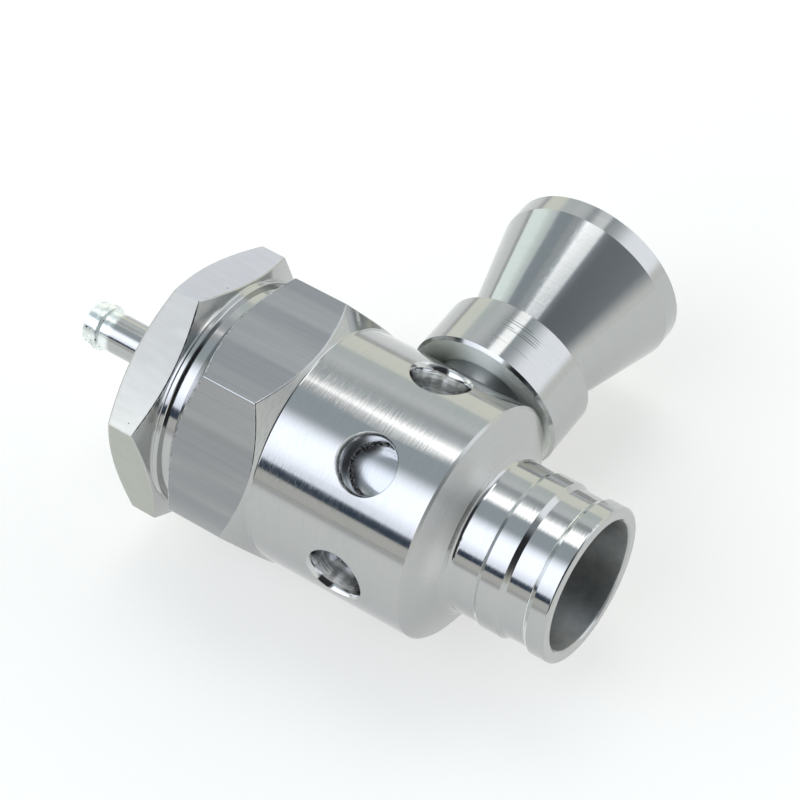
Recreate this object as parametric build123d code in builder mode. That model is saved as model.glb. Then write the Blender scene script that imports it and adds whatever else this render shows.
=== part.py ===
from build123d import *
import os
from math import cos, hypot, pi, radians, sin, tan

os.makedirs("parts", exist_ok=True)

# Piston blow off valve for a 25 mm boost hose. Millimetres.
# The main axis is X. The mouth of the inlet is at x = 0 and faces +X. The horn points to +Y.
# Stations along the main axis are given as distances from the mouth, counted towards the nipple.


def at(station, radius):
    """A point of a turned section, from its distance to the mouth and its radius."""
    return (-station, radius)


# Inlet spigot
lip_radius = 12.9
lip_length = 3.0
lip_edge_round = 0.45
lip_ramp = 0.8
hose_land_radius = 12.3
hose_land_length = 4.6
bead_radius = 12.9
bead_ramp = 0.85
bead_length = 4.2
root_ramp = 0.6
root_radius = 12.6
root_length = 5.45
root_fillet = 0.9
foot_round = 0.3
spigot_wall = 1.5
mouth_edge = 0.3

# Body: conical shoulder, round barrel, hexagon, neck and flange
barrel_radius = 19.5
barrel_length = 27.5
barrel_edge = 0.4
shoulder_angle = 29.0
hex_step = 0.55
hex_length = 9.6
hex_chamfer_angle = 36.3
hex_corner_round = 0.35
hex_arc_round = 0.25
junction_fillet = 0.4
neck_depth = 0.75
neck_length = 1.8
flange_thickness = 0.85
flange_edge = 0.12

# Body: inside
body_wall = 5.5
seat_setback = 1.3
cap_thread_step = 2.0
cap_thread_depth = 10.45
thread_run_out = 0.5
entry_chamfer = 0.6

# Vents and horn port, all round the barrel at one station, 60 degrees apart
vent_setback = 11.6
vent_radius = 4.85
vent_edge = 0.25
vent_angles = (-150, -90, -30, 30, 150)
spot_face_margin = 1.0
spot_face_depth = 1.3
port_floor_wall = 1.2
port_bore_radius = 6.5

# Cap
cap_flat_step = 0.3
cap_turn = 35.0
cap_height = 8.25
washer_face_height = 0.45
cap_chamfer_angle = 24.6
cap_top_step = 0.8
cap_top_round = 0.4
cap_spigot_length = 8.95
cap_spigot_edge = 0.5
cap_roof = 7.7
cap_groove_setback = 0.55
cap_groove_width = 1.5
cap_groove_depth = 1.25
washer_root_depth = 1.0
washer_root_step = 2.0
pocket_step = 0.2

# Hose nipple
nipple_radius = 3.3
nipple_tail_step = 0.3
nipple_tail_length = 6.7
nipple_tail_edge = 0.3
nipple_length = 18.7
nipple_head_length = 3.1
nipple_ring_radius = 3.95
nipple_ring_length = 1.3
nipple_ring_ramp = 0.25
nipple_ring_round = 0.35
nipple_tip_radius = 3.6
nipple_tip_edge = 0.25
nipple_bore_radius = 1.75

# Piston
piston_length = 19.5
piston_floor_thickness = 4.0
piston_cup_wall = 2.45
piston_edge = 0.3
piston_groove_setback = 16.6
piston_groove_width = 1.7
piston_groove_depth = 1.45
seat_groove_inset = 1.85
seat_groove_depth = 1.2
seat_groove_clearance = 0.1
seat_ring_proud = 0.15

# Spring
spring_wire_radius = 0.8
spring_active_turns = 5
spring_closed_gap = 0.05
spring_steps_per_turn = 12

# Horn
horn_root_radius = 9.0
horn_root_bevel = 0.4
collar_gap = 1.8
collar_radius = 13.25
collar_height = 10.05
collar_bevel = 0.5
collar_top_edge = 0.2
cone_base_radius = 10.2
cone_height = 19.1
horn_lip_radius = 15.55
horn_lip_height = 3.5
horn_lip_edge = 0.25
horn_wall = 1.5

# Clearances
thread_clearance = 0.04
piston_clearance = 0.05
seat_gap = 0.2
ring_clearance = 0.02
port_clearance = 0.03
spring_side_clearance = 0.9
spring_end_clearance = 0.05

# How far cutting shapes reach past the faces that they open
cut_over = 1.0

# Stations
land_end = lip_length + hose_land_length
bead_end = land_end + bead_length
shoulder_front = bead_end + root_length
barrel_start = shoulder_front + barrel_edge + (
    barrel_radius - barrel_edge - root_radius) * tan(radians(shoulder_angle))
barrel_end = barrel_start + barrel_length
hex_radius = barrel_radius + hex_step
hex_corner_radius = hex_radius / cos(radians(30))
neck_radius = barrel_radius - neck_depth
hex_chamfer = tan(radians(hex_chamfer_angle))
hex_right_corner = barrel_end + (hex_corner_radius - barrel_radius) * hex_chamfer
hex_left_corner = hex_right_corner + hex_length
hex_left_end = hex_left_corner + (hex_corner_radius - neck_radius) * hex_chamfer
flange_start = hex_left_end + neck_length
body_top = flange_start + flange_thickness
seat_station = barrel_start + seat_setback
vent_station = barrel_start + vent_setback
cap_thread_bottom = body_top - cap_thread_depth
cap_top = body_top + cap_height
cap_spigot_end = body_top - cap_spigot_length
spring_pocket_floor = cap_top - cap_roof
piston_nose = seat_station + seat_gap + seat_ring_proud
piston_back = piston_nose + piston_length

# Radii
flange_radius = barrel_radius
inlet_bore_radius = hose_land_radius - spigot_wall
piston_bore_radius = barrel_radius - body_wall
piston_radius = piston_bore_radius - piston_clearance
piston_cup_radius = piston_radius - piston_cup_wall
piston_groove_radius = piston_radius - piston_groove_depth
cap_thread_radius = piston_bore_radius + cap_thread_step
cap_spigot_radius = cap_thread_radius - thread_clearance
cap_groove_radius = cap_spigot_radius - cap_groove_depth
spring_pocket_radius = piston_cup_radius - pocket_step
spring_mean_radius = piston_cup_radius - spring_side_clearance - spring_wire_radius
cap_hex_radius = flange_radius + cap_flat_step
cap_corner_radius = cap_hex_radius / cos(radians(30))
cap_top_radius = cap_hex_radius - cap_top_step
nipple_tail_radius = nipple_radius - nipple_tail_step
port_radius = horn_root_radius + port_clearance
spot_face_radius = horn_root_radius + spot_face_margin

# Body: turned from hexagon bar in one piece with its inlet spigot
with BuildPart() as valve_body:
    with BuildSketch(Plane.YZ.offset(-(barrel_end - 2 * junction_fillet))):
        RegularPolygon(hex_radius, 6, major_radius=False)
    extrude(amount=-(hex_left_end - barrel_end + 2 * junction_fillet))
    fillet(valve_body.edges().filter_by(Axis.X), hex_corner_round)
    with BuildSketch() as envelope:
        with BuildLine():
            Polyline(
                at(barrel_end - 2 * junction_fillet, 0),
                at(barrel_end - 2 * junction_fillet, barrel_radius),
                at(barrel_end, barrel_radius),
                at(hex_right_corner, hex_corner_radius),
                at(hex_left_corner, hex_corner_radius),
                at(hex_left_end, neck_radius),
                at(hex_left_end, 0),
                close=True,
            )
        make_face()
        foot = envelope.vertices().sort_by_distance((-barrel_end, barrel_radius, 0))[0]
        fillet(foot, junction_fillet)
    revolve(axis=Axis.X, mode=Mode.INTERSECT)
    fillet([edge for edge in valve_body.edges()
            if edge.geom_type not in (GeomType.LINE, GeomType.CIRCLE)], hex_arc_round)
    with BuildSketch() as turned:
        with BuildLine():
            Polyline(
                at(0, 0),
                at(0, lip_radius),
                at(lip_length, lip_radius),
                at(lip_length + lip_ramp, hose_land_radius),
                at(land_end, hose_land_radius),
                at(land_end + bead_ramp, bead_radius),
                at(bead_end, bead_radius),
                at(bead_end + root_ramp, root_radius),
                at(shoulder_front, root_radius),
                at(barrel_start - barrel_edge, barrel_radius - barrel_edge),
                at(barrel_start, barrel_radius),
                at(barrel_end - junction_fillet, barrel_radius),
                at(barrel_end - junction_fillet, neck_radius),
                at(flange_start, neck_radius),
                at(flange_start, flange_radius - flange_edge),
                at(flange_start + flange_edge, flange_radius),
                at(body_top - flange_edge, flange_radius),
                at(body_top, flange_radius - flange_edge),
                at(body_top, 0),
                close=True,
            )
        make_face()
        for corner, radius in (
            (at(0, lip_radius), lip_edge_round),
            (at(lip_length + lip_ramp, hose_land_radius), foot_round),
            (at(bead_end + root_ramp, root_radius), foot_round),
            (at(shoulder_front, root_radius), root_fillet),
        ):
            fillet(turned.vertices().sort_by_distance((*corner, 0))[0], radius)
    revolve(axis=Axis.X)
    with BuildSketch() as hollow:
        with BuildLine():
            Polyline(
                at(-cut_over, 0),
                at(-cut_over, inlet_bore_radius + mouth_edge + cut_over),
                at(mouth_edge, inlet_bore_radius),
                at(seat_station, inlet_bore_radius),
                at(seat_station, piston_bore_radius),
                at(cap_thread_bottom, piston_bore_radius),
                at(cap_thread_bottom + thread_run_out, cap_thread_radius),
                at(body_top - entry_chamfer, cap_thread_radius),
                at(body_top + cut_over, cap_thread_radius + entry_chamfer + cut_over),
                at(body_top + cut_over, 0),
                close=True,
            )
        make_face()
    revolve(axis=Axis.X, mode=Mode.SUBTRACT)
    for angle in vent_angles:
        out = (0, sin(radians(angle)), cos(radians(angle)))
        with Locations(Plane(origin=(-vent_station, 0, 0), x_dir=(1, 0, 0), z_dir=out)):
            Cylinder(vent_radius, barrel_radius + cut_over,
                     align=(Align.CENTER, Align.CENTER, Align.MIN), mode=Mode.SUBTRACT)
    port = Plane(origin=(-vent_station, 0, 0), x_dir=(1, 0, 0), z_dir=(0, 1, 0))
    with Locations(port):
        Cylinder(port_bore_radius, barrel_radius, align=(Align.CENTER, Align.CENTER, Align.MIN),
                 mode=Mode.SUBTRACT)
    with Locations(port.offset(piston_bore_radius + port_floor_wall)):
        Cylinder(port_radius, barrel_radius, align=(Align.CENTER, Align.CENTER, Align.MIN),
                 mode=Mode.SUBTRACT)
    with Locations(port.offset(barrel_radius - spot_face_depth)):
        Cylinder(spot_face_radius, barrel_radius, align=(Align.CENTER, Align.CENTER, Align.MIN),
                 mode=Mode.SUBTRACT)
    vent_rims = [
        edge for edge in valve_body.edges()
        if all(abs(hypot((edge @ t).Y, (edge @ t).Z) - barrel_radius) < 0.01 for t in (0, 0.3, 0.6))
        and all(abs((edge @ t).X + vent_station) < vent_radius + 0.01 for t in (0, 0.3, 0.6))
        and (edge @ 0.3).Y < barrel_radius / 2 + vent_radius
    ]
    chamfer(vent_rims, vent_edge)

valve_body.part.label = "valve_body"
export_step(valve_body.part, "parts/valve_body.step")

# Cap: hexagon head with a turned washer face and a threaded spigot, which holds the spring
cap_head_bottom = body_top + washer_face_height
cap_chamfer = tan(radians(cap_chamfer_angle))
with BuildPart() as cap:
    with BuildSketch(Plane.YZ.offset(-cap_head_bottom)):
        RegularPolygon(cap_hex_radius, 6, major_radius=False, rotation=cap_turn)
    extrude(amount=-(cap_top - cap_head_bottom))
    fillet(cap.edges().filter_by(Axis.X), hex_corner_round)
    with BuildSketch():
        with BuildLine():
            Polyline(
                at(cap_head_bottom, 0),
                at(cap_head_bottom, flange_radius),
                at(cap_head_bottom + (cap_corner_radius - flange_radius) * cap_chamfer,
                   cap_corner_radius),
                at(cap_top - (cap_corner_radius - cap_top_radius) * cap_chamfer,
                   cap_corner_radius),
                at(cap_top, cap_top_radius),
                at(cap_top, 0),
                close=True,
            )
        make_face()
    revolve(axis=Axis.X, mode=Mode.INTERSECT)
    cap_arcs = [edge for edge in cap.edges()
                if edge.geom_type not in (GeomType.LINE, GeomType.CIRCLE)]
    cap_middle = -(cap_head_bottom + cap_top) / 2
    fillet([edge for edge in cap_arcs if edge.center().X > cap_middle], hex_arc_round)
    fillet([edge for edge in cap.edges()
            if edge.geom_type not in (GeomType.LINE, GeomType.CIRCLE)
            and edge.center().X < cap_middle], cap_top_round)
    with BuildSketch():
        with BuildLine():
            Polyline(
                at(cap_spigot_end, 0),
                at(cap_spigot_end, cap_spigot_radius - cap_spigot_edge),
                at(cap_spigot_end + cap_spigot_edge, cap_spigot_radius),
                at(body_top - cap_groove_setback - cap_groove_width, cap_spigot_radius),
                at(body_top - cap_groove_setback - cap_groove_width, cap_groove_radius),
                at(body_top - cap_groove_setback, cap_groove_radius),
                at(body_top - cap_groove_setback, cap_spigot_radius),
                at(body_top, cap_spigot_radius),
                at(body_top, flange_radius - flange_edge),
                at(body_top + flange_edge, flange_radius),
                at(cap_head_bottom, flange_radius),
                at(cap_head_bottom + washer_root_depth, flange_radius - washer_root_step),
                at(cap_head_bottom + washer_root_depth, 0),
                close=True,
            )
        make_face()
    revolve(axis=Axis.X)
    with BuildSketch():
        with BuildLine():
            Polyline(
                at(cap_spigot_end - cut_over, 0),
                at(cap_spigot_end - cut_over, spring_pocket_radius + cap_spigot_edge + cut_over),
                at(cap_spigot_end + cap_spigot_edge, spring_pocket_radius),
                at(spring_pocket_floor, spring_pocket_radius),
                at(spring_pocket_floor, nipple_tail_radius),
                at(cap_top + cut_over, nipple_tail_radius),
                at(cap_top + cut_over, 0),
                close=True,
            )
        make_face()
    revolve(axis=Axis.X, mode=Mode.SUBTRACT)

cap.part.label = "cap"
export_step(cap.part, "parts/cap.step")

# Seal ring between cap and body
cap_ring_radius = (cap_thread_radius - cap_groove_radius) / 2 - ring_clearance
cap_ring_station = body_top - cap_groove_setback - cap_groove_width / 2
with BuildPart() as cap_o_ring:
    with BuildSketch():
        with Locations(at(cap_ring_station, (cap_thread_radius + cap_groove_radius) / 2)):
            Circle(cap_ring_radius)
    revolve(axis=Axis.X)

cap_o_ring.part.label = "cap_o_ring"
export_step(cap_o_ring.part, "parts/cap_o_ring.step")

# Vacuum hose nipple, pressed into the cap
nipple_tip = cap_top + nipple_length
nipple_head = nipple_tip - nipple_head_length
nipple_ring_end = nipple_head + nipple_ring_length
with BuildPart() as vacuum_nipple:
    with BuildSketch() as nipple_section:
        with BuildLine():
            Polyline(
                at(cap_top - nipple_tail_length, nipple_bore_radius),
                at(cap_top - nipple_tail_length, nipple_tail_radius - nipple_tail_edge),
                at(cap_top - nipple_tail_length + nipple_tail_edge, nipple_tail_radius),
                at(cap_top, nipple_tail_radius),
                at(cap_top, nipple_radius),
                at(nipple_head, nipple_radius),
                at(nipple_head + nipple_ring_ramp, nipple_ring_radius),
                at(nipple_ring_end - nipple_ring_ramp, nipple_ring_radius),
                at(nipple_ring_end, nipple_tip_radius),
                at(nipple_tip - nipple_tip_edge, nipple_tip_radius),
                at(nipple_tip, nipple_tip_radius - nipple_tip_edge),
                at(nipple_tip, nipple_bore_radius),
                close=True,
            )
        make_face()
        for station in (nipple_head + nipple_ring_ramp, nipple_ring_end - nipple_ring_ramp):
            crown = nipple_section.vertices().sort_by_distance((-station, nipple_ring_radius, 0))[0]
            fillet(crown, nipple_ring_round)
    revolve(axis=Axis.X)

vacuum_nipple.part.label = "vacuum_nipple"
export_step(vacuum_nipple.part, "parts/vacuum_nipple.step")

# Piston: a cup that closes the inlet and covers the vents
seat_ring_radius = (seat_groove_depth + seat_ring_proud) / 2
seat_groove_middle = piston_radius - seat_groove_inset
seat_groove_inner = seat_groove_middle - seat_ring_radius - seat_groove_clearance
seat_groove_outer = seat_groove_middle + seat_ring_radius + seat_groove_clearance
groove_front = piston_nose + piston_groove_setback
groove_back = groove_front + piston_groove_width
with BuildPart() as piston:
    with BuildSketch() as piston_section:
        with BuildLine():
            Polyline(
                at(piston_nose, 0),
                at(piston_nose, seat_groove_inner),
                at(piston_nose + seat_groove_depth, seat_groove_inner),
                at(piston_nose + seat_groove_depth, seat_groove_outer),
                at(piston_nose, seat_groove_outer),
                at(piston_nose, piston_radius - piston_edge),
                at(piston_nose + piston_edge, piston_radius),
                at(groove_front, piston_radius),
                at(groove_front, piston_groove_radius),
                at(groove_back, piston_groove_radius),
                at(groove_back, piston_radius),
                at(piston_back - piston_edge, piston_radius),
                at(piston_back, piston_radius - piston_edge),
                at(piston_back, piston_cup_radius + piston_edge),
                at(piston_back - piston_edge, piston_cup_radius),
                at(piston_nose + piston_floor_thickness, piston_cup_radius),
                at(piston_nose + piston_floor_thickness, 0),
                close=True,
            )
        make_face()
        cup = piston_section.vertices().sort_by_distance(
            (-piston_nose - piston_floor_thickness, piston_cup_radius, 0))[0]
        fillet(cup, spring_side_clearance / 2)
    revolve(axis=Axis.X)

piston.part.label = "piston"
export_step(piston.part, "parts/piston.step")

# Seal ring round the piston, behind the vents
piston_ring_radius = (piston_bore_radius - piston_groove_radius) / 2 - ring_clearance
with BuildPart() as piston_o_ring:
    with BuildSketch():
        with Locations(at((groove_front + groove_back) / 2,
                          (piston_bore_radius + piston_groove_radius) / 2)):
            Circle(piston_ring_radius)
    revolve(axis=Axis.X)

piston_o_ring.part.label = "piston_o_ring"
export_step(piston_o_ring.part, "parts/piston_o_ring.step")

# Seal ring in the piston's face, which closes on the seat
with BuildPart() as seat_o_ring:
    with BuildSketch():
        with Locations(at(piston_nose + seat_groove_depth - seat_ring_radius, seat_groove_middle)):
            Circle(seat_ring_radius)
    revolve(axis=Axis.X)

seat_o_ring.part.label = "seat_o_ring"
export_step(seat_o_ring.part, "parts/seat_o_ring.step")

# Return spring: round wire with a closed and ground turn at each end
spring_foot = piston_nose + piston_floor_thickness + spring_end_clearance
spring_head = spring_pocket_floor - spring_end_clearance
turns = spring_active_turns + 2
wire = 2 * spring_wire_radius
pitch_closed = wire + spring_closed_gap
active_pitch = (spring_head - spring_foot - wire - 2 * pitch_closed) / spring_active_turns
path_points = []
for i in range(turns * spring_steps_per_turn + 1):
    turn = i / spring_steps_per_turn
    if turn < 1:
        run = turn * pitch_closed
    elif turn > turns - 1:
        run = pitch_closed + spring_active_turns * active_pitch + (turn - turns + 1) * pitch_closed
    else:
        run = pitch_closed + (turn - 1) * active_pitch
    phase = 2 * pi * turn
    path_points.append((-(spring_foot + spring_wire_radius + run),
                        spring_mean_radius * cos(phase), spring_mean_radius * sin(phase)))
with BuildPart() as spring:
    with BuildLine() as spring_path:
        Spline(path_points)
    with BuildSketch(Plane(origin=spring_path.line @ 0, z_dir=spring_path.line % 0)):
        Circle(spring_wire_radius)
    sweep()
    with Locations((-(spring_foot + spring_head) / 2, 0, 0)):
        Box(spring_head - spring_foot, 2 * piston_cup_radius, 2 * piston_cup_radius,
            mode=Mode.INTERSECT)

spring.part.label = "spring"
export_step(spring.part, "parts/spring.step")

# Horn: collar, cone and lip in one turned piece, screwed into the port
horn_axis = Axis((-vent_station, 0, 0), (0, 1, 0))
horn_foot = piston_bore_radius + port_floor_wall + port_clearance
collar_bottom = barrel_radius - spot_face_depth + collar_gap
collar_top = collar_bottom + collar_height
horn_lip_start = collar_top + cone_height
horn_mouth = horn_lip_start + horn_lip_height


def horn_at(height, radius):
    """A point of the horn's section, from its height over the main axis and its radius."""
    return (-vent_station + radius, height)


with BuildPart() as horn:
    with BuildSketch():
        with BuildLine():
            Polyline(
                horn_at(horn_foot, port_bore_radius),
                horn_at(horn_foot, horn_root_radius - horn_root_bevel),
                horn_at(horn_foot + horn_root_bevel, horn_root_radius),
                horn_at(collar_bottom, horn_root_radius),
                horn_at(collar_bottom, collar_radius - collar_bevel),
                horn_at(collar_bottom + collar_bevel, collar_radius),
                horn_at(collar_top - collar_top_edge, collar_radius),
                horn_at(collar_top, collar_radius - collar_top_edge),
                horn_at(collar_top, cone_base_radius),
                horn_at(horn_lip_start, horn_lip_radius),
                horn_at(horn_mouth - horn_lip_edge, horn_lip_radius),
                horn_at(horn_mouth, horn_lip_radius - horn_lip_edge),
                horn_at(horn_mouth, horn_lip_radius - horn_wall + horn_lip_edge),
                horn_at(horn_mouth - horn_lip_edge, horn_lip_radius - horn_wall),
                horn_at(horn_lip_start, horn_lip_radius - horn_wall),
                horn_at(collar_top, cone_base_radius - horn_wall),
                horn_at(collar_bottom, port_bore_radius),
                close=True,
            )
        make_face()
    revolve(axis=horn_axis)

horn.part.label = "horn"
export_step(horn.part, "parts/horn.step")
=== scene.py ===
from math import cos, radians, sin
from types import SimpleNamespace

import bpy
from mathutils import Matrix, Vector

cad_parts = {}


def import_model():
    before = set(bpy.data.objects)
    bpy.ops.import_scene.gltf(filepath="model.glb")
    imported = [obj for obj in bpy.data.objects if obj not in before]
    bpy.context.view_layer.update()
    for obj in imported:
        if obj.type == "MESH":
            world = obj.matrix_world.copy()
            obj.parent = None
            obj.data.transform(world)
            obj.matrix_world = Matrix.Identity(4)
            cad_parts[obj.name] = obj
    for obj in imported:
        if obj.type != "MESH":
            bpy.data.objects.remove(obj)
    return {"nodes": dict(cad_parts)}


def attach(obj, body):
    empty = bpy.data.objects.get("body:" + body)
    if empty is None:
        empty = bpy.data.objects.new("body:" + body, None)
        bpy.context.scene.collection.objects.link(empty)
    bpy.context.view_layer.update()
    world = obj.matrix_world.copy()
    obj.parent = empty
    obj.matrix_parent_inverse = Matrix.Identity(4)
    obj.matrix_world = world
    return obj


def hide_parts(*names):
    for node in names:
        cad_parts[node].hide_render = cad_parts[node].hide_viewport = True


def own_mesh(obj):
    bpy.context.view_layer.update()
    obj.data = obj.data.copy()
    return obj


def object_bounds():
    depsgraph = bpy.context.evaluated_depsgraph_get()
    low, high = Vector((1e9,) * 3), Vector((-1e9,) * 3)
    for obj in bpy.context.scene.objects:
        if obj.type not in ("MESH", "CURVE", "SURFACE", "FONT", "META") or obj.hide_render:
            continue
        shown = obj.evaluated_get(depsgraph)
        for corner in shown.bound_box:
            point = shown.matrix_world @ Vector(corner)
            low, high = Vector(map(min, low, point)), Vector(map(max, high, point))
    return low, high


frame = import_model()
cad_low, cad_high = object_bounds()

# Valve body. One aluminium piece turned from drawn hexagon bar: a beaded hose spigot, a conical
# shoulder, a round barrel with its vents, and the hexagon for the spanner. The turned faces are
# polished, the flats keep the bar's drawn streaks, and the bores are left as the tool cut them.
main_axis = (1, 0, 0)
polished = (0.470, 0.474, 0.472)
# Pale metal: the countersinks' bright cut, and the painted light on the shoulder by the spigot's
# root
pale_metal_and_painted_light = (0.60, 0.605, 0.60)
rough_marks_x = (-0.055, -0.034)
shoulder_x = -0.0212
root_radius = 0.0137
root_zone = (0.0150, 0.0175)
root_side = (0, -0.60, 0.80)
ramps_x = -0.0202
flats_from_radius = 0.0198
chamfer_slope = 0.7346
chamfer_foot = -0.078043
inlet_bore_radius = 0.0108
inlet_depth = 0.0226


def new_material(name):
    """An empty node material with its Principled shader and output."""
    made = bpy.data.materials.new(name)
    made.use_nodes = True
    made.node_tree.nodes.clear()
    shader = made.node_tree.nodes.new("ShaderNodeBsdfPrincipled")
    output = made.node_tree.nodes.new("ShaderNodeOutputMaterial")
    made.node_tree.links.new(shader.outputs["BSDF"], output.inputs["Surface"])
    return made, made.node_tree, shader


def dress(node_name, material):
    """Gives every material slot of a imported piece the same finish."""
    for slot in frame["nodes"][node_name].material_slots:
        slot.material = material


def plug(tree, socket, value):
    """Links a socket to another, or sets it to a plain number or colour."""
    if isinstance(value, bpy.types.NodeSocket):
        tree.links.new(value, socket)
    elif isinstance(value, tuple) and len(value) == 3 and len(socket.default_value) == 4:
        socket.default_value = (*value, 1.0)
    else:
        socket.default_value = value


def maths(tree, operation, *values):
    """One Math node on numbers or sockets."""
    step = tree.nodes.new("ShaderNodeMath")
    step.operation = operation
    for socket, value in zip(step.inputs, values):
        plug(tree, socket, value)
    return step.outputs["Value"]


def vectors(tree, operation, *values):
    """One Vector Math node on triples or sockets."""
    step = tree.nodes.new("ShaderNodeVectorMath")
    step.operation = operation
    for socket, value in zip(step.inputs, values):
        plug(tree, socket, value)
    return step.outputs["Value" if operation in ("DOT_PRODUCT", "LENGTH") else "Vector"]


def towards(tree, vector, way):
    """How far a vector reaches along a way."""
    return vectors(tree, "DOT_PRODUCT", vector, way)


def rise(tree, value, low, high):
    """Goes smoothly from zero at low to one at high."""
    step = tree.nodes.new("ShaderNodeMapRange")
    step.interpolation_type = "SMOOTHSTEP"
    step.inputs["From Min"].default_value = low
    step.inputs["From Max"].default_value = high
    plug(tree, step.inputs["Value"], value)
    return step.outputs["Result"]


def fall(tree, value, low, high):
    """Goes smoothly from one at low to zero at high."""
    return maths(tree, "SUBTRACT", 1.0, rise(tree, value, low, high))


def between(tree, value, low, high, soft):
    """One between low and high, and zero outside, with soft ends."""
    return maths(tree, "SUBTRACT", rise(tree, value, low - soft, low + soft),
                 rise(tree, value, high - soft, high + soft))


def both(tree, *masks):
    """Where all the masks hold."""
    held = masks[0]
    for mask in masks[1:]:
        held = maths(tree, "MULTIPLY", held, mask)
    return held


def blend(tree, kind, amount, start, end):
    """Mixes numbers, colours or vectors."""
    step = tree.nodes.new("ShaderNodeMix")
    step.data_type = kind
    plug(tree, step.inputs["Factor"], amount)
    plug(tree, step.inputs["A"], start)
    plug(tree, step.inputs["B"], end)
    return step.outputs["Result"]


def noise(tree, position, detail=2.0, sharp=0.5):
    """Smooth noise with cells of about one unit of the position."""
    step = tree.nodes.new("ShaderNodeTexNoise")
    step.inputs["Scale"].default_value = 1.0
    step.inputs["Detail"].default_value = detail
    step.inputs["Roughness"].default_value = sharp
    tree.links.new(position, step.inputs["Vector"])
    return step.outputs["Fac"]


def effect_group(name, inputs, outputs):
    """An empty shader node group with named sockets."""
    group = bpy.data.node_groups.new(name, "ShaderNodeTree")
    for title, kind in inputs:
        group.interface.new_socket(title, in_out="INPUT", socket_type="NodeSocket" + kind)
    for title in outputs:
        group.interface.new_socket(title, in_out="OUTPUT", socket_type="NodeSocketFloat")
    entry = group.nodes.new("NodeGroupInput")
    leave = group.nodes.new("NodeGroupOutput")
    return group, entry.outputs, leave.inputs


# The lathe leaves fine marks round a piece. Along is the place down its axis, and Across the way
# out of it. Pitch is how close the marks lie, and Run how far one goes round.
lathe_marks, given, made_out = effect_group(
    "lathe marks", (("Axis", "Vector"), ("Along", "Float"), ("Across", "Vector"),
                    ("Pitch", "Float"), ("Run", "Float")), ("Height", "Hairs", "Rings"))
mark_step = maths(lathe_marks, "DIVIDE", given["Along"], given["Pitch"])
mark_side = vectors(lathe_marks, "DIVIDE", given["Across"], given["Run"])
mark_place = vectors(lathe_marks, "MULTIPLY_ADD", given["Axis"], mark_step, mark_side)
lathe_marks.links.new(noise(lathe_marks, mark_place, 1.0, 0.6), made_out["Height"])
hair_place = vectors(lathe_marks, "MULTIPLY_ADD", mark_place, (2.3, 2.3, 2.3), (31.0, 7.0, 13.0))
lathe_marks.links.new(rise(lathe_marks, noise(lathe_marks, hair_place, 1.0), 0.46, 0.70),
                      made_out["Hairs"])
ring_step = maths(lathe_marks, "MULTIPLY", mark_step, 0.15)
ring_side = vectors(lathe_marks, "MULTIPLY", mark_side, (0.2, 0.2, 0.2))
ring_place = vectors(lathe_marks, "MULTIPLY_ADD", given["Axis"], ring_step, ring_side)
lathe_marks.links.new(noise(lathe_marks, ring_place, 3.0), made_out["Rings"])

# Handling leaves small pits and dots. Share is the part of the cells that holds one.
small_pits, given, made_out = effect_group(
    "small pits", (("Position", "Vector"), ("Spacing", "Float"), ("Size", "Float"),
                   ("Share", "Float")), ("Pits",))
pit_cells = small_pits.nodes.new("ShaderNodeTexVoronoi")
pit_cells.inputs["Scale"].default_value = 1.0
small_pits.links.new(vectors(small_pits, "DIVIDE", given["Position"], given["Spacing"]),
                     pit_cells.inputs["Vector"])
pit_chance = small_pits.nodes.new("ShaderNodeSeparateColor")
small_pits.links.new(pit_cells.outputs["Color"], pit_chance.inputs["Color"])
pit_edge = maths(small_pits, "MULTIPLY", given["Size"], maths(
    small_pits, "ADD", pit_chance.outputs["Green"], 0.4))
pit_shape = maths(small_pits, "LESS_THAN", pit_cells.outputs["Distance"], pit_edge)
pit_here = maths(small_pits, "LESS_THAN", pit_chance.outputs["Red"], given["Share"])
small_pits.links.new(both(small_pits, pit_shape, pit_here), made_out["Pits"])


def turned_metal(name, roughness, axis=main_axis, centre=(0, 0, 0), pitch=0.00030, run=0.004,
                 colour=polished, anisotropy=0.85):
    """Metal turned round an axis: its material, and the values that its zones go on to change."""
    made, tree, shader = new_material(name)
    shader.inputs["Metallic"].default_value = 1.0
    shader.inputs["Anisotropic"].default_value = anisotropy
    shader.inputs["Anisotropic Rotation"].default_value = 0.25
    here = tree.nodes.new("ShaderNodeTexCoord")
    place = vectors(tree, "SUBTRACT", here.outputs["Object"], centre)
    facing = here.outputs["Normal"]
    along = towards(tree, place, axis)
    out = vectors(tree, "SUBTRACT", place, vectors(tree, "MULTIPLY", place, axis))
    marks = tree.nodes.new("ShaderNodeGroup")
    marks.node_tree = lathe_marks
    marks.inputs["Axis"].default_value = axis
    marks.inputs["Pitch"].default_value = pitch
    marks.inputs["Run"].default_value = run
    tree.links.new(along, marks.inputs["Along"])
    tree.links.new(out, marks.inputs["Across"])
    rings = marks.outputs["Rings"]
    hairs = marks.outputs["Hairs"]
    darker = tuple(c * tint for c, tint in zip(colour, (0.95, 0.98, 0.96)))
    lighter = tuple(c * tint for c, tint in zip(colour, (1.05, 1.02, 1.04)))
    shade = maths(tree, "MULTIPLY_ADD", hairs, -0.4, rings)
    toned = blend(tree, "RGBA", shade, darker, lighter)
    ring_gloss = maths(tree, "MULTIPLY_ADD", rings, 0.3, 0.8)
    mark_gloss = maths(tree, "MULTIPLY_ADD", hairs, 0.2, ring_gloss)
    gloss = maths(tree, "MULTIPLY", roughness, mark_gloss)
    radius = vectors(tree, "LENGTH", out)
    tangent = vectors(tree, "CROSS_PRODUCT", axis, out)
    return SimpleNamespace(
        made=made, tree=tree, shader=shader, place=place, facing=facing, along=along, out=out,
        radius=radius, colour=toned, gloss=gloss, height=marks.outputs["Height"], hairs=hairs,
        tangent=tangent)


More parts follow.
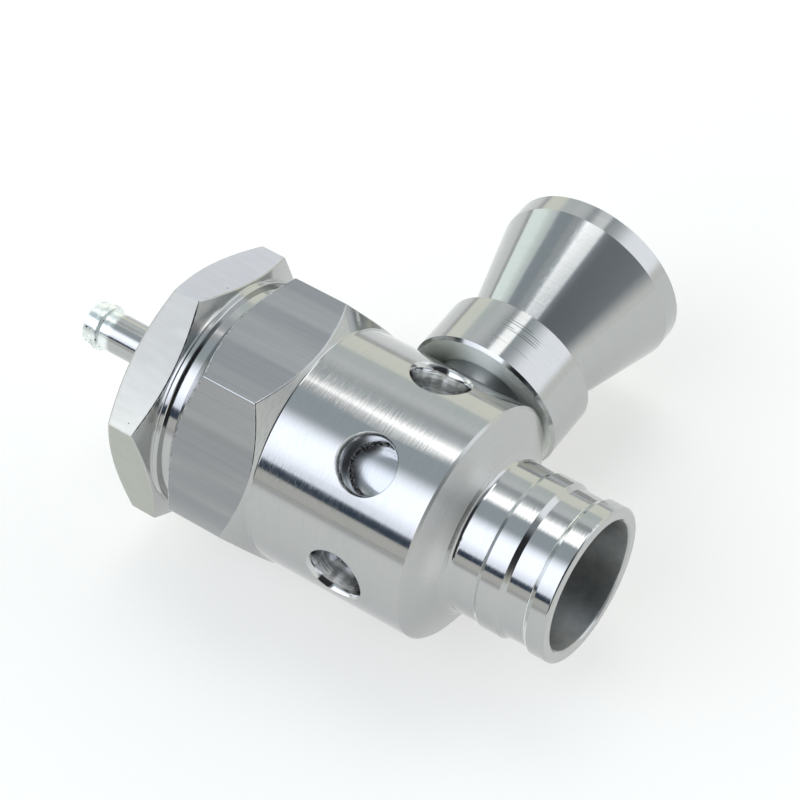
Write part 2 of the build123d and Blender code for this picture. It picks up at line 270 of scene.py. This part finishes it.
def pits(finish, spacing, size, share):
    """The small pits on one finish."""
    scatter = finish.tree.nodes.new("ShaderNodeGroup")
    scatter.node_tree = small_pits
    scatter.inputs["Spacing"].default_value = spacing
    scatter.inputs["Size"].default_value = size
    scatter.inputs["Share"].default_value = share
    finish.tree.links.new(finish.place, scatter.inputs["Position"])
    return scatter.outputs["Pits"]


def rework(finish, zone, colour=None, gloss=None, height=None, tangent=None):
    """Gives one zone of a finish its own colour, roughness, height of marks or their direction."""
    if colour is not None:
        finish.colour = blend(finish.tree, "RGBA", zone, finish.colour, colour)
    if gloss is not None:
        finish.gloss = blend(finish.tree, "FLOAT", zone, finish.gloss, gloss)
    if height is not None:
        finish.height = blend(finish.tree, "FLOAT", zone, finish.height, height)
    if tangent is not None:
        finish.tangent = blend(finish.tree, "VECTOR", zone, finish.tangent, tangent)


def hexagon_flats(finish, low_radius, high_radius):
    """Where a hexagon's flats are: beyond a radius, and not on its turned ends."""
    end_on = maths(finish.tree, "ABSOLUTE", towards(finish.tree, finish.facing, main_axis))
    return both(finish.tree, rise(finish.tree, finish.radius, low_radius, high_radius),
                fall(finish.tree, end_on, 0.25, 0.45))


def close_finish(finish, depth):
    """Links the reworked values to the shader. Depth is how deep the marks are cut."""
    bump = finish.tree.nodes.new("ShaderNodeBump")
    bump.inputs["Distance"].default_value = depth
    plug(finish.tree, bump.inputs["Height"], finish.height)
    plug(finish.tree, finish.shader.inputs["Normal"], bump.outputs["Normal"])
    plug(finish.tree, finish.shader.inputs["Base Color"], finish.colour)
    plug(finish.tree, finish.shader.inputs["Roughness"], finish.gloss)
    plug(finish.tree, finish.shader.inputs["Tangent"], finish.tangent)
    return finish.made


def stretched(finish, cell, detail=2.0, sharp=0.5):
    """Noise with long cells, whose three sizes are in metres."""
    return noise(finish.tree, vectors(finish.tree, "DIVIDE", finish.place, cell), detail, sharp)


def speckled(finish, size, detail=2.0, sharp=0.5):
    """Noise with even cells of one size in metres."""
    return stretched(finish, (size, size, size), detail, sharp)


body = turned_metal("turned body", roughness=0.115)
tree = body.tree

# The barrel, with rougher marks towards the hexagon
rough_marks = both(tree, between(tree, body.along, *rough_marks_x, 0.010), body.hairs)
rework(body, rough_marks, gloss=0.19)

# The satin shoulder. Above the spigot's root it mirrors the spigot, and there it is painted paler:
# painted light over that dark reflection.
shoulder = both(tree, rise(tree, body.along, shoulder_x - 0.0001, shoulder_x),
                rise(tree, body.radius, root_radius, root_radius + 0.0002))
rework(body, shoulder, gloss=0.26)
above_root = towards(tree, vectors(tree, "NORMALIZE", body.out), root_side)
painted_light_by_root = both(tree, shoulder, fall(tree, body.radius, *root_zone),
               rise(tree, above_root, 0.70, 0.95))
rework(body, painted_light_by_root, pale_metal_and_painted_light, 0.32)

# The ramps that face back towards the shoulder, painted paler: a painted reflection of the
# shoulder
ramps = both(tree, rise(tree, body.along, ramps_x - 0.0001, ramps_x + 0.0001),
             maths(tree, "LESS_THAN", towards(tree, body.facing, main_axis), -0.25))
rework(body, ramps, (0.84, 0.87, 0.85))

# The bar's flats, with straight drawn streaks, a few pits, and burrs along the turned chamfer
flats = hexagon_flats(body, flats_from_radius - 0.0001, flats_from_radius)
streaks = stretched(body, (0.03, 0.00035, 0.00035), 3.0, 0.6)
bands = rise(tree, stretched(body, (0.09, 0.0042, 0.0042), 1.0), 0.42, 0.62)
flat_dark = blend(tree, "RGBA", streaks, (0.36, 0.37, 0.385), (0.41, 0.42, 0.435))
flat_pale = blend(tree, "RGBA", streaks, (0.42, 0.43, 0.435), (0.52, 0.53, 0.53))
rework(body, flats, colour=blend(tree, "RGBA", bands, flat_dark, flat_pale),
       gloss=maths(tree, "MULTIPLY_ADD", streaks, 0.09, 0.13),
       height=maths(tree, "MULTIPLY", streaks, 0.1), tangent=main_axis)
rework(body, both(tree, flats, pits(body, spacing=0.004, size=0.05, share=0.14)),
       (0.08, 0.08, 0.085), 0.5)
to_chamfer = maths(tree, "MULTIPLY_ADD", body.radius, -chamfer_slope, body.along)
burrs = both(tree, flats,
             between(tree, to_chamfer, chamfer_foot - 0.0002, chamfer_foot + 0.00025, 0.0001),
             rise(tree, speckled(body, 0.00028, 1.0), 0.53, 0.57))
rework(body, burrs,
       blend(tree, "RGBA", body.hairs, (0.10, 0.10, 0.10), (0.92, 0.92, 0.92)), 0.45)

# The inlet's bore, matt and mottled
bore = both(tree, maths(tree, "LESS_THAN", body.radius, inlet_bore_radius + 0.0001),
            between(tree, body.along, -inlet_depth, -0.0002, 0.0001))
mottle = speckled(body, 0.0022, 4.0, 0.6)
rework(body, bore, blend(tree, "RGBA", mottle, (0.27, 0.29, 0.29), (0.62, 0.63, 0.625)),
       gloss=0.5, height=mottle)
dress("valve_body", close_finish(body, 0.000005))

# Vents. Drilled through the barrel's wall and countersunk. The solid has them plain, so each gets
# a lining of the same metal, which gives it the drill's own size and the countersink. The drill
# left rings on the walls, and a torn edge with burrs where it broke through into the bore.
vent_x = -0.032853
vent_angles = (-150, -90, -30, 30, 150)
barrel_radius = 0.0195
bore_radius = 0.0140
drilled_radius = 0.00448
sink_radius = 0.00490
sink_depth = 0.00110
rim_edge = 0.00007
lining_radius = 0.00513
lining_top = barrel_radius - 0.00001
lining_foot = bore_radius + 0.00003
sink_foot = lining_top - sink_depth
drill_pitch = 0.00022
drill_wander = 350.0
tear_reach = 0.0016

# The lining, one closed ring: up its wall, over the rim and down its outside
lining_rings = ((drilled_radius, lining_foot), (drilled_radius, sink_foot),
                (sink_radius, lining_top - rim_edge), (sink_radius + rim_edge, lining_top),
                (lining_radius, lining_top), (sink_radius, lining_foot))
bpy.ops.object.select_all(action="DESELECT")
bpy.ops.mesh.primitive_circle_add(vertices=128, radius=drilled_radius,
                                  location=(0, 0, lining_foot))
lining = bpy.context.object
bpy.ops.object.transform_apply(location=True, rotation=False, scale=False)
bpy.ops.object.mode_set(mode="EDIT")
bpy.ops.mesh.select_all(action="SELECT")
for (radius, height), (next_radius, next_height) in zip(lining_rings, lining_rings[1:]):
    bpy.ops.mesh.extrude_region_move(
        TRANSFORM_OT_translate={"value": (0, 0, next_height - height)})
    widen = next_radius / radius
    bpy.ops.transform.resize(value=(widen, widen, 1), center_override=(0, 0, 0))
bpy.ops.mesh.select_all(action="DESELECT")
bpy.ops.mesh.select_non_manifold()
bpy.ops.mesh.bridge_edge_loops()
bpy.ops.mesh.select_all(action="SELECT")
bpy.ops.mesh.normals_make_consistent(inside=False)
bpy.ops.object.mode_set(mode="OBJECT")

# Each of its rings dips at the sides, as the round of the barrel does
for corner in lining.data.vertices:
    corner.co.z = (corner.co.z ** 2 - corner.co.y ** 2) ** 0.5
bpy.ops.object.shade_smooth_by_angle(angle=radians(30))

# Depth down a vent, measured along whichever of the three lines through the vents is nearest
vents = turned_metal("drilled vents", roughness=0.115)
tree = vents.tree
way_out = towards(tree, vectors(tree, "NORMALIZE", vents.out), vents.facing)
round_vent = vectors(tree, "CROSS_PRODUCT", vents.out, vents.facing)
drill_depth = 0.0
for angle in (-30, 30, 90):
    vent_way = (0, sin(radians(angle)), cos(radians(angle)))
    this_depth = maths(tree, "ABSOLUTE", towards(tree, vents.place, vent_way))
    drill_depth = maths(tree, "MAXIMUM", drill_depth, this_depth)
drill_step = maths(tree, "DIVIDE", drill_depth, drill_pitch)
drill_place = vectors(tree, "MULTIPLY_ADD", vents.place,
                      (drill_wander, drill_wander, drill_wander), drill_step)
drill_rings = noise(tree, drill_place, 1.5, 0.6)

# The countersink, crisp and bright
sink = both(tree, rise(tree, vents.radius, sink_foot, sink_foot + 0.00001),
            maths(tree, "LESS_THAN", way_out, 0.85))
rework(vents, sink, pale_metal_and_painted_light, 0.08, drill_rings, round_vent)

# The drilled walls
drilled = maths(tree, "LESS_THAN", vents.radius, sink_foot)
drill_lines = rise(tree, drill_rings, 0.36, 0.56)
rework(vents, drilled,
       blend(tree, "RGBA", drill_lines, (0.45, 0.455, 0.465), (0.88, 0.885, 0.88)),
       0.15, drill_rings, round_vent)

# The torn edge, dark with bright burrs
torn = speckled(vents, 0.00035, 3.0, 0.7)
tear_edge = maths(tree, "MULTIPLY_ADD", torn, tear_reach, bore_radius + 0.0001)
torn_zone = both(tree, drilled, maths(tree, "LESS_THAN", vents.radius, tear_edge))
specks = rise(tree, speckled(vents, 0.00028, 1.0), 0.50, 0.54)
rework(vents, torn_zone,
       blend(tree, "RGBA", specks, (0.04, 0.04, 0.045), (0.95, 0.95, 0.93)), 0.5, torn)
plug(tree, vents.shader.inputs["Metallic"],
     maths(tree, "SUBTRACT", 1.0, both(tree, torn_zone, specks)))
lining.data.materials.append(close_finish(vents, 0.000005))

# One lining for each vent, turned round the barrel to its place
lining.data.transform(Matrix.Translation((vent_x, 0, 0)))
turned_to = 0
for number, angle in enumerate(vent_angles, start=1):
    if number > 1:
        lining = bpy.data.objects.new("vent", lining.data.copy())
        bpy.context.collection.objects.link(lining)
    lining.name = f"vent_lining_{number}"
    lining.data.transform(Matrix.Rotation(radians(turned_to - angle), 4, "X"))
    turned_to = angle
    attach(lining, "valve")

# Seal ring of the cap. A moulded ring of black rubber in the groove of the cap's spigot, where the
# body's bore squeezes it.
rubber_grain = (900.0, 900.0, 900.0)
ring_rubber, ring_tree, ring_shader = new_material("black rubber")
ring_here = ring_tree.nodes.new("ShaderNodeTexCoord")
ring_fine = vectors(ring_tree, "MULTIPLY", ring_here.outputs["Object"], rubber_grain)
ring_grain = noise(ring_tree, ring_fine, 3.0)
ring_shader.inputs["Specular IOR Level"].default_value = 0.35
plug(ring_tree, ring_shader.inputs["Base Color"], blend(
    ring_tree, "RGBA", ring_grain, (0.012, 0.012, 0.013), (0.03, 0.03, 0.032)))
plug(ring_tree, ring_shader.inputs["Roughness"],
     maths(ring_tree, "MULTIPLY_ADD", ring_grain, 0.25, 0.45))
dress("cap_o_ring", ring_rubber)

# Cap. A hexagon head screwed onto the body over its seal ring. Its chamfers and washer face are
# turned, and its flats are satin, with small pits and chips from handling. Each flat is painted
# its own tone of light and shade, lighter downwards.
cap_flats_radius = (0.0196, 0.01975)
painted_light_way = (0, -0.574, -0.819)
flat_half_width = 0.0115
cap_top_way = (0, 0.087, 0.996)
cap_low_way = (0, -0.906, -0.423)
cap = turned_metal("satin cap", roughness=0.14)
tree = cap.tree
cap_flats = hexagon_flats(cap, *cap_flats_radius)
satin = stretched(cap, (0.004, 0.0012, 0.0012), 3.0)
# Painted light and shade on the flats: lighter downwards, with painted tones of their own on the
# top and low flats
painted_light_across = towards(tree, cap.place, painted_light_way)
flat_painted_light = blend(tree, "RGBA", rise(tree, painted_light_across, -flat_half_width, flat_half_width),
                  (0.52, 0.518, 0.49), (0.72, 0.715, 0.655))
for flat_way, painted_flat_tone in ((cap_top_way, (0.67, 0.675, 0.735)),
                           (cap_low_way, (0.49, 0.505, 0.45))):
    this_flat = maths(tree, "GREATER_THAN", towards(tree, cap.facing, flat_way), 0.9)
    flat_painted_light = blend(tree, "RGBA", this_flat, flat_painted_light, painted_flat_tone)
dulled = maths(tree, "MULTIPLY", rise(tree, satin, 0.3, 0.7), 0.06)
rework(cap, cap_flats, colour=blend(tree, "RGBA", dulled, flat_painted_light, (0.2, 0.2, 0.2)),
       gloss=maths(tree, "MULTIPLY_ADD", satin, 0.08, 0.36),
       height=maths(tree, "MULTIPLY", satin, 0.5), tangent=main_axis)
rework(cap, both(tree, cap_flats, pits(cap, spacing=0.0016, size=0.085, share=0.13)),
       (0.10, 0.10, 0.11), 0.5)
dress("cap", close_finish(cap, 0.000004))

# Vacuum nipple. A slim turned tube with a raised ring behind its tip, pressed into the cap's
# middle. The tip is pale and pitted, and the tube behind it is polished.
tip_x = (-0.095, -0.0890)
nipple = turned_metal("turned nipple", roughness=0.13, pitch=0.00025, run=0.003)
tree = nipple.tree
nipple_tip = between(tree, nipple.along, *tip_x, 0.0006)
tip_tone = rise(tree, speckled(nipple, 0.0012), 0.35, 0.6)
rework(nipple, nipple_tip,
       blend(tree, "RGBA", tip_tone, (0.74, 0.79, 0.77), (0.95, 1.0, 0.99)), 0.28)
rework(nipple, both(tree, nipple_tip, pits(nipple, spacing=0.0007, size=0.22, share=0.25)),
       (0.06, 0.06, 0.055), 0.5)
dress("vacuum_nipple", close_finish(nipple, 0.000003))

# Horn. Collar, cone and lip turned in one piece and screwed into the side of the barrel. The
# collar's underside is left satin, and the cone has the finest marks.
horn_axis = (0, 1, 0)
underside_y = 0.0203
painted_shade_radii = (0.0080, 0.0097)
root_y = 0.0199
horn_root_radius = 0.0096
cone_y = (0.0301, 0.0491)
groove_places = (0.0233, 0.0257, 0.0261, 0.0266, 0.0270, 0.0275)
groove_half = 0.00005
scuff_way = (0.242, 0.0, 0.970)
horn = turned_metal("turned horn", roughness=0.12, axis=horn_axis, centre=(vent_x, 0, 0),
                    pitch=0.00028, run=0.005)
tree = horn.tree
horn_out = vectors(tree, "NORMALIZE", horn.out)

# The underside: painted shade, dark by the root, going over to a painted pale reflection where it
# mirrors the barrel across the gap. The root beneath it is painted dark as shade.
underside = both(tree, maths(tree, "LESS_THAN", towards(tree, horn.facing, horn_axis), -0.9),
                 maths(tree, "LESS_THAN", horn.along, underside_y))
painted_gap_shade_and_light = blend(tree, "RGBA", rise(tree, horn.radius, *painted_shade_radii),
                 (0.25, 0.26, 0.255), (0.97, 1.0, 0.96))
rework(horn, underside, painted_gap_shade_and_light, 0.5)
root = both(tree, maths(tree, "LESS_THAN", horn.along, root_y),
            maths(tree, "LESS_THAN", horn.radius, horn_root_radius))
rework(horn, root, (0.24, 0.25, 0.25), 0.3)

# The cone, with fine marks up its side across the lathe's own
cone = between(tree, horn.along, *cone_y, 0.0001)
crossed = stretched(horn, (0.00028, 0.006, 0.00028), 2.0, 0.6)
crossed_gloss = maths(tree, "MULTIPLY", rise(tree, crossed, 0.45, 0.75), 0.08)
lathe_height = maths(tree, "MULTIPLY", horn.height, 0.7)
rework(horn, cone, gloss=maths(tree, "ADD", horn.gloss, crossed_gloss),
       height=maths(tree, "MULTIPLY_ADD", crossed, 0.08, lathe_height))

# The broken scuff lines on one side of the collar
scuffed = rise(tree, towards(tree, horn_out, scuff_way), 0.955, 0.985)
broken = rise(tree, stretched(horn, (0.004, 0.0003, 0.004)), 0.36, 0.46)
for groove_y in groove_places:
    groove = between(tree, horn.along, groove_y - groove_half, groove_y + groove_half, 0.00004)
    rework(horn, both(tree, groove, broken, scuffed), (0.10, 0.105, 0.11), 0.3)

# The inside, dull
horn_inside = maths(tree, "LESS_THAN", towards(tree, horn_out, horn.facing), -0.5)
rework(horn, horn_inside, (0.36, 0.365, 0.36), 0.4)
dress("horn", close_finish(horn, 0.0000022))

# Piston. A turned aluminium cup that slides in the body's bore and closes the inlet. Its side
# shows in the vents.
piston = turned_metal("turned piston", roughness=0.15, run=0.006, colour=(0.44, 0.45, 0.465))
rework(piston, pits(piston, spacing=0.0011, size=0.10, share=0.16), (0.10, 0.10, 0.105), 0.4)
dress("piston", close_finish(piston, 0.000004))

# Seal rings of the piston. Moulded of the same black rubber, one in the groove round its side and
# one in its face, where it meets the inlet's seat.
for ring in ("piston_o_ring", "seat_o_ring"):
    dress(ring, ring_rubber)

# Spring. Drawn steel wire, coiled, with its ends ground flat. It stands between the cap and the
# piston's cup and shortens as the piston lifts. Here an unchanged copy of the solid stands for it.
spring = turned_metal("spring steel", roughness=0.35, pitch=0.0004, run=0.002,
                      colour=(0.36, 0.36, 0.37), anisotropy=0.0)
coil = bpy.data.objects.new("return_spring", frame["nodes"]["spring"].data.copy())
bpy.context.collection.objects.link(coil)
bpy.ops.object.select_all(action="DESELECT")
coil.select_set(True)
bpy.context.view_layer.objects.active = coil
bpy.ops.object.mode_set(mode="EDIT")
bpy.ops.mesh.select_all(action="SELECT")
bpy.ops.mesh.remove_doubles(threshold=0.000001)
bpy.ops.mesh.normals_make_consistent(inside=False)
bpy.ops.object.mode_set(mode="OBJECT")
bpy.ops.object.shade_smooth_by_angle(angle=radians(30))
coil.data.materials.clear()
coil.data.materials.append(close_finish(spring, 0.000001))
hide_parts("spring")
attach(coil, "valve")
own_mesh(coil)

# Table. A plain matt white top under the valve, wide enough for every view. Beyond the nipple it
# is duller, which shows in the metal, and it glows a little to the eye, so that it reads as white.
floor_size = 6.0
floor_gap = 0.0002
floor_near = (0.567, 0.569, 0.541)
floor_duller = (0.37, 0.37, 0.355)
near_glow = 0.50
duller_glow = -0.18
bpy.ops.object.select_all(action="DESELECT")
bpy.ops.mesh.primitive_plane_add(size=floor_size, location=(0, 0, cad_low.z - floor_gap))
floor = bpy.context.object
floor.name = "table"
floor_white, floor_tree, floor_shader = new_material("white table")
floor_shader.inputs["Roughness"].default_value = 0.9
floor_shader.inputs["Specular IOR Level"].default_value = 0.0
floor_shader.inputs["Emission Color"].default_value = (1.0, 1.0, 1.0, 1.0)
floor_here = floor_tree.nodes.new("ShaderNodeTexCoord")
floor_place = floor_here.outputs["Object"]
floor_far = both(
    floor_tree, rise(floor_tree, towards(floor_tree, floor_place, (-1, 0, 0)), -0.20, 0.0),
    rise(floor_tree, vectors(floor_tree, "LENGTH", floor_place), 0.2, 0.6))
plug(floor_tree, floor_shader.inputs["Base Color"],
     blend(floor_tree, "RGBA", floor_far, floor_near, floor_duller))
seen_by = floor_tree.nodes.new("ShaderNodeLightPath")
mirrored = maths(floor_tree, "MAXIMUM", seen_by.outputs["Is Glossy Ray"],
                 seen_by.outputs["Is Transmission Ray"])
seen = maths(floor_tree, "MAXIMUM", seen_by.outputs["Is Camera Ray"], mirrored)
floor_glow = maths(floor_tree, "MULTIPLY_ADD", floor_far, duller_glow, near_glow)
plug(floor_tree, floor_shader.inputs["Emission Strength"],
     maths(floor_tree, "MULTIPLY", seen, floor_glow))
floor.data.materials.append(floor_white)

# Studio. A white tent round the table with a duller ceiling, dark where its front stands open
# towards the camera. Soft boxes stand to the left of the camera, straight above, and behind the
# horn.
tent_strength = 3.0
wall_tones = ((0.0, (1.11, 1.13, 1.01)), (0.37, (1.11, 1.13, 1.01)), (0.40, (0.78, 0.85, 0.84)),
              (0.55, (0.80, 0.87, 0.87)), (0.62, (0.90, 0.93, 0.95)), (0.70, (0.85, 0.89, 0.90)),
              (0.76, (0.62, 0.66, 0.67)), (0.92, (0.53, 0.61, 0.66)), (1.0, (0.50, 0.57, 0.62)))
world = bpy.data.worlds.new("tent")
bpy.context.scene.world = world
world.use_nodes = True
tent = world.node_tree
tent.nodes.clear()
tent_out = tent.nodes.new("ShaderNodeOutputWorld")
tent_light = tent.nodes.new("ShaderNodeBackground")
tent.links.new(tent_light.outputs["Background"], tent_out.inputs["Surface"])

# Places in the tent are given in its plan: U towards +X and V towards +Y, zero overhead and one at
# the horizon, with Z for the height
tent_way = tent.nodes.new("ShaderNodeTexCoord")
tent_split = tent.nodes.new("ShaderNodeSeparateXYZ")
tent.links.new(tent_way.outputs["Generated"], tent_split.inputs["Vector"])
tent_reach = maths(tent, "MAXIMUM", maths(tent, "ADD", tent_split.outputs["Z"], 1.0), 0.05)
tent_plan = tent.nodes.new("ShaderNodeCombineXYZ")
plug(tent, tent_plan.inputs["X"], maths(tent, "DIVIDE", tent_split.outputs["X"], tent_reach))
plug(tent, tent_plan.inputs["Y"], maths(tent, "DIVIDE", tent_split.outputs["Y"], tent_reach))
plug(tent, tent_plan.inputs["Z"], tent_split.outputs["Z"])

# The walls, by height
tent_wall = tent.nodes.new("ShaderNodeValToRGB")
tent.links.new(tent_split.outputs["Z"], tent_wall.inputs["Fac"])
ramp = tent_wall.color_ramp
while len(ramp.elements) < len(wall_tones):
    ramp.elements.new(0.5)
for element, (height, tone) in zip(ramp.elements, wall_tones):
    element.position = height
    element.color = (*(c / tent_strength for c in tone), 1.0)


# A panel's side is a slope in the plan, the place where it ends, and how soft it ends there.
def right_of(u, soft):
    return (1, 0, 0), u, soft


def left_of(u, soft):
    return (-1, 0, 0), -u, soft


def beyond(v, soft):
    return (0, 1, 0), v, soft


def before(v, soft):
    return (0, -1, 0), -v, soft


def over(z, soft):
    return (0, 0, 1), z, soft


def under(z, soft):
    return (0, 0, -1), -z, soft


def patch(behind, colour, *sides):
    """Lays a panel of another tone over the tent, inside straight sides in its plan."""
    masks = []
    for slope, limit, soft in sides:
        reach = towards(tent, tent_plan.outputs["Vector"], slope)
        masks.append(rise(tent, reach, limit - soft, limit + soft))
    panel = tuple(c / tent_strength for c in colour)
    return blend(tent, "RGBA", both(tent, *masks), behind, panel)


# Duller ceiling and a bright wall towards the nipple
tone = tent_wall.outputs["Color"]
tone = patch(tone, (0.42, 0.48, 0.52), left_of(-0.27, 0.04), over(0.60, 0.02), under(0.85, 0.03),
             beyond(-0.10, 0.03), before(0.25, 0.04))
tone = patch(tone, (1.36, 1.52, 1.47), right_of(-1.05, 0.03), left_of(-0.585, 0.165),
             beyond(0.05, 0.04), before(0.35, 0.04))

# A paler strip low on the inlet's side, the dark end there with a duller wall beside it, and the
# open front round the camera
tone = patch(tone, (0.97, 0.985, 0.96), right_of(0.62, 0.10), beyond(-0.45, 0.10),
             before(0.75, 0.10), under(0.38, 0.03))
tone = patch(tone, (0.35, 0.385, 0.42), right_of(0.06, 0.02), left_of(0.775, 0.175),
             beyond(-0.35, 0.05), before(0.19, 0.05))
tone = patch(tone, (0.04, 0.04, 0.045), right_of(0.10, 0.05), left_of(0.66, 0.06),
             before(0.0, 0.08))

# Soft box behind the horn
tone = patch(tone, (1.48, 1.53, 1.62), right_of(0.175, 0.125), left_of(0.675, 0.075),
             beyond(0.23, 0.03), before(0.60, 0.04))

# Soft box straight above, with slanted corners, a dull spot beyond it and a dim edge beside it
tone = patch(tone, (0.46, 0.50, 0.53), right_of(-0.20, 0.02), left_of(0.04, 0.02),
             beyond(0.28, 0.02), before(0.36, 0.02))
tone = patch(tone, (0.55, 0.56, 0.57), right_of(-0.30, 0.03), left_of(-0.20, 0.02),
             beyond(0.05, 0.02), before(0.20, 0.03))
tone = patch(tone, (2.85, 2.85, 2.85), right_of(-0.27, 0.02), ((1, 0.9, 0), -0.112, 0.012),
             beyond(0.035, 0.012), before(0.295, 0.02), ((1, -0.625, 0), -0.306, 0.015),
             ((-1, -0.17, 0), -0.05, 0.015))

# Lower wall in front, the dull gap at the horizon, the dark one over the wall, and the tall soft
# box to the left of the camera, dimmer at its near edge
tone = patch(tone, (0.76, 0.76, 0.73), right_of(-0.90, 0.05), left_of(0.05, 0.03),
             over(0.02, 0.005), under(0.205, 0.005), before(-0.5, 0.05))
tone = patch(tone, (0.60, 0.60, 0.58), over(-0.05, 0.005), under(0.018, 0.006),
             left_of(0.30, 0.10))
tone = patch(tone, (0.03, 0.055, 0.095), right_of(-0.72, 0.02), left_of(0.03, 0.02),
             over(0.186, 0.006), before(-0.35, 0.02))
tone = patch(tone, (1.45, 1.52, 1.70), right_of(-0.75, 0.03), left_of(0.03, 0.015),
             ((0.62, 1, 0), -0.825, 0.012), before(-0.22, 0.10))
tone = patch(tone, (2.1, 2.2, 2.45), right_of(-0.75, 0.03), left_of(0.03, 0.015),
             ((0.62, 1, 0), -0.70, 0.12), before(-0.22, 0.10))
tent.links.new(tone, tent_light.inputs["Color"])
tent_light.inputs["Strength"].default_value = tent_strength

# Camera. A long lens on a stand, from above and to the right of the inlet, turned a little, so
# that the valve lies across the frame.
camera_place = Vector((0.1341, -0.21621, 0.36059))
camera_right = Vector((0.8249, 0.5648, -0.0241))
camera_up = Vector((-0.4179, 0.638, 0.6468))
camera_back = Vector((0.3807, -0.5235, 0.7623))
camera_data = bpy.data.cameras.new("camera")
camera_data.sensor_width = 36.0
camera_data.lens = 133.7
camera_data.shift_x = -0.0673
camera_data.shift_y = -0.0986
camera = bpy.data.objects.new("camera", camera_data)
bpy.context.collection.objects.link(camera)
turn = Matrix((camera_right, camera_up, camera_back)).transposed()
camera.matrix_world = Matrix.Translation(camera_place) @ turn.to_4x4()
bpy.context.scene.camera = camera

bpy.context.scene.view_settings.view_transform = "Standard"
